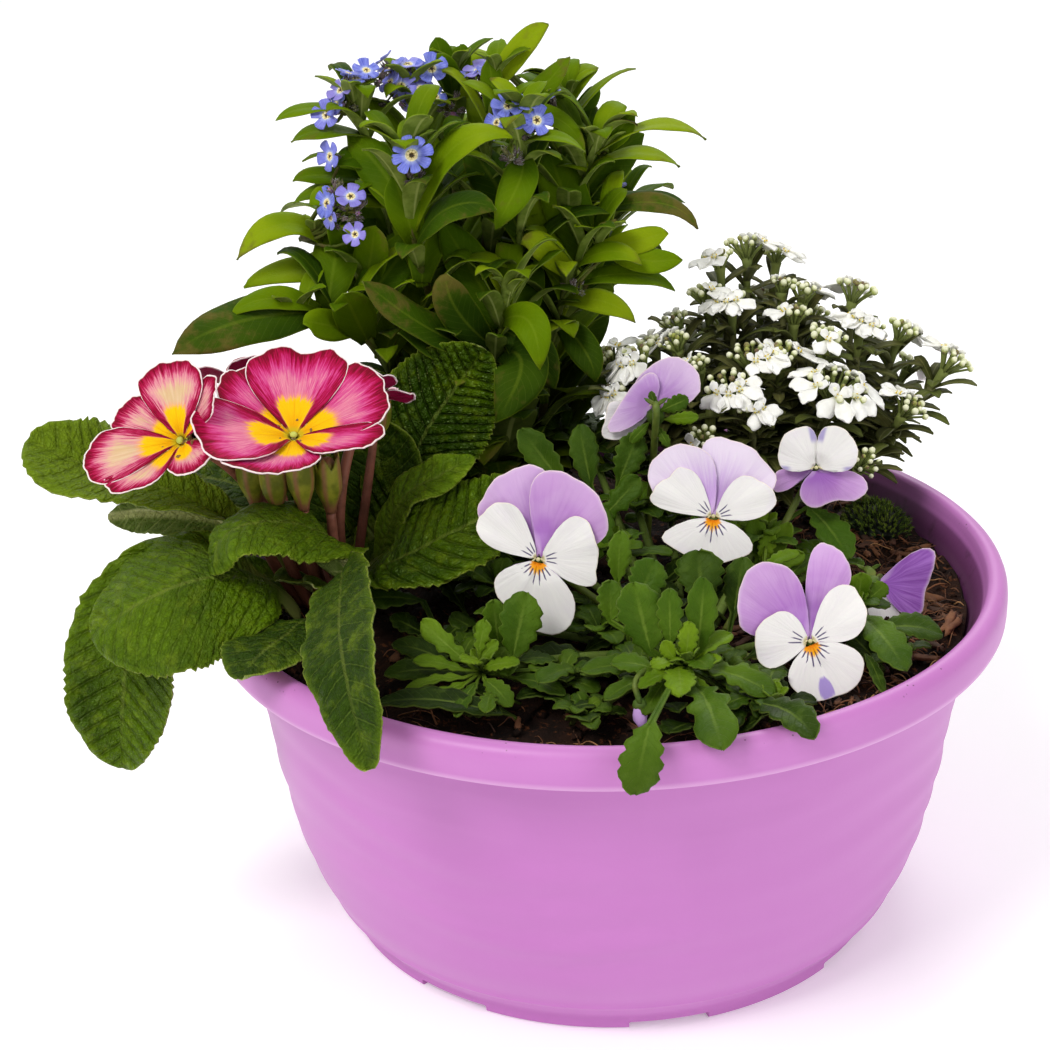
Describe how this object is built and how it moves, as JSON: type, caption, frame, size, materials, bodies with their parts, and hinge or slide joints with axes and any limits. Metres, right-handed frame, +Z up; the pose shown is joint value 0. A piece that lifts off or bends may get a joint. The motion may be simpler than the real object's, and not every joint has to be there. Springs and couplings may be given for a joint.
{
  "type": "mixed flower planter",
  "caption": "Shallow round planting bowl of moulded plastic, filled with potting soil and planted with primula, forget-me-not, candytuft and viola in bloom.",
  "frame": {"origin": "centre of the bowl's underside, on the surface that it stands on", "axes": "+Z up; the front of the bowl faces -Y, with the primula at -X and the candytuft at +X"},
  "size_m": [0.276, 0.236, 0.251],
  "materials": {
    "bowl_plastic": "satin moulded plastic, orchid pink, darker inside",
    "potting_soil": "damp crumbly potting mix with fibres; weighed as damp peat mix",
    "root_ball": "damp root-bound potting mix",
    "moss": "soft moss tufts",
    "bark": "rough reddish-brown bark",
    "primula_leaf": "deep green, quilted, paler ribs and edge",
    "primula_petal": "velvety crimson to pink with a yellow star eye and a fine white edge",
    "primula_stalk": "downy pinkish-brown stalk with a green calyx",
    "forget_me_not_petal": "pale blue with a yellow ring eye",
    "forget_me_not_leaf": "fresh mid green, downy",
    "candytuft_flower": "white florets around cream and green buds",
    "candytuft_leaf": "dark grey-green, smooth",
    "viola_petal": "white and lilac with violet lines and an orange-yellow eye",
    "viola_leaf": "mid green, scalloped, slightly glossy"
  },
  "bodies": {
    "root": {"bark_chip_1": "bark", "bark_chip_2": "bark", "candytuft_flower_head_1": "candytuft_flower", "candytuft_flower_head_2": "candytuft_flower", "candytuft_flower_head_3": "candytuft_flower", "candytuft_flower_head_4": "candytuft_flower", "candytuft_root_ball": "root_ball", "candytuft_shoot_1": "candytuft_leaf", "candytuft_shoot_2": "candytuft_leaf", "candytuft_shoot_3": "candytuft_leaf", "candytuft_shoot_4": "candytuft_leaf", "candytuft_shoot_5": "candytuft_leaf", "forget_me_not_flowers_1": "forget_me_not_petal", "forget_me_not_flowers_2": "forget_me_not_petal", "forget_me_not_flowers_3": "forget_me_not_petal", "forget_me_not_root_ball": "root_ball", "forget_me_not_shoot_1": "forget_me_not_leaf", "forget_me_not_shoot_2": "forget_me_not_leaf", "forget_me_not_shoot_3": "forget_me_not_leaf", "forget_me_not_shoot_4": "forget_me_not_leaf", "forget_me_not_shoot_5": "forget_me_not_leaf", "forget_me_not_shoot_6": "forget_me_not_leaf", "forget_me_not_shoot_7": "forget_me_not_leaf", "forget_me_not_shoot_8": "forget_me_not_leaf", "moss_cushion": "moss", "planting_bowl": "bowl_plastic", "potting_soil": "potting_soil", "primula_flower_1": "primula_petal", "primula_flower_2": "primula_petal", "primula_flower_3": "primula_petal", "primula_flower_4": "primula_petal", "primula_leaf_1": "primula_leaf", "primula_leaf_10": "primula_leaf", "primula_leaf_11": "primula_leaf", "primula_leaf_2": "primula_leaf", "primula_leaf_3": "primula_leaf", "primula_leaf_4": "primula_leaf", "primula_leaf_5": "primula_leaf", "primula_leaf_6": "primula_leaf", "primula_leaf_7": "primula_leaf", "primula_leaf_8": "primula_leaf", "primula_leaf_9": "primula_leaf", "primula_root_ball": "root_ball", "primula_stalk_1": "primula_stalk", "primula_stalk_2": "primula_stalk", "primula_stalk_3": "primula_stalk", "primula_stalk_4": "primula_stalk", "viola_flower_1": "viola_petal", "viola_flower_2": "viola_petal", "viola_flower_3": "viola_petal", "viola_flower_4": "viola_petal", "viola_flower_5": "viola_petal", "viola_flower_6": "viola_petal", "viola_root_ball": "root_ball", "viola_shoot_1": "viola_leaf", "viola_shoot_2": "viola_leaf", "viola_shoot_3": "viola_leaf", "viola_shoot_4": "viola_leaf", "viola_shoot_5": "viola_leaf", "viola_shoot_6": "viola_leaf"}
  },
  "joints": []
}
